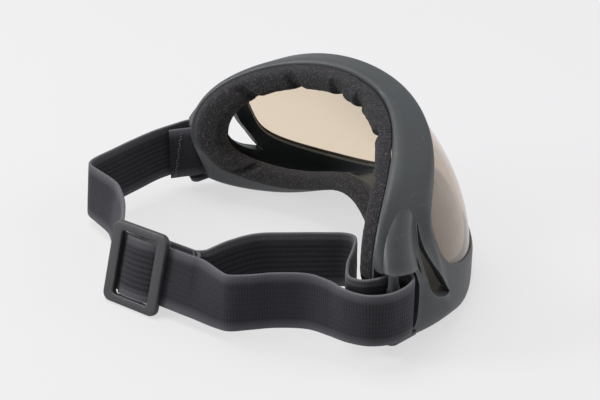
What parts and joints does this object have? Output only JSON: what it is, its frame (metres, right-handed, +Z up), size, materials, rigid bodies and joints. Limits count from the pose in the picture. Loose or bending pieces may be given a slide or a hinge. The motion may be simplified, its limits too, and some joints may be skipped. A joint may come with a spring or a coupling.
{
  "type": "wrap-round goggles",
  "caption": "Wrap-round protective goggles with a curved lens, side vents, a foam face seal and an adjustable elastic head strap.",
  "frame": {"origin": "middle of the face flange, at eye height", "axes": "+Z up, +Y towards the wearer's face, +X to the wearer's left; the lens looks along -Y"},
  "size_m": [0.1857, 0.16, 0.08],
  "materials": {
    "frame_plastic": "satin",
    "lens_clear": "polished",
    "seal_foam": "matte",
    "strap_webbing": "matte",
    "slider_plastic": "satin"
  },
  "bodies": {
    "frame": {"face_frame": "frame_plastic", "lens": "lens_clear", "face_foam": "seal_foam"},
    "strap": {"strap_band": "strap_webbing"},
    "slider": {"slider": "slider_plastic", "strap_bar_loop": "strap_webbing"}
  },
  "joints": [
    {"name": "strap_swing", "type": "hinge", "parent": "frame", "child": "strap", "pos_m": [0, 0.038, -0.0115], "axis": [1, 0, 0], "range_deg": [-5, 5]},
    {"name": "slider_slide", "type": "slide", "parent": "strap", "child": "slider", "axis": [-0.9135, -0.4067, 0], "range_m": [0, 0.01]}
  ]
}
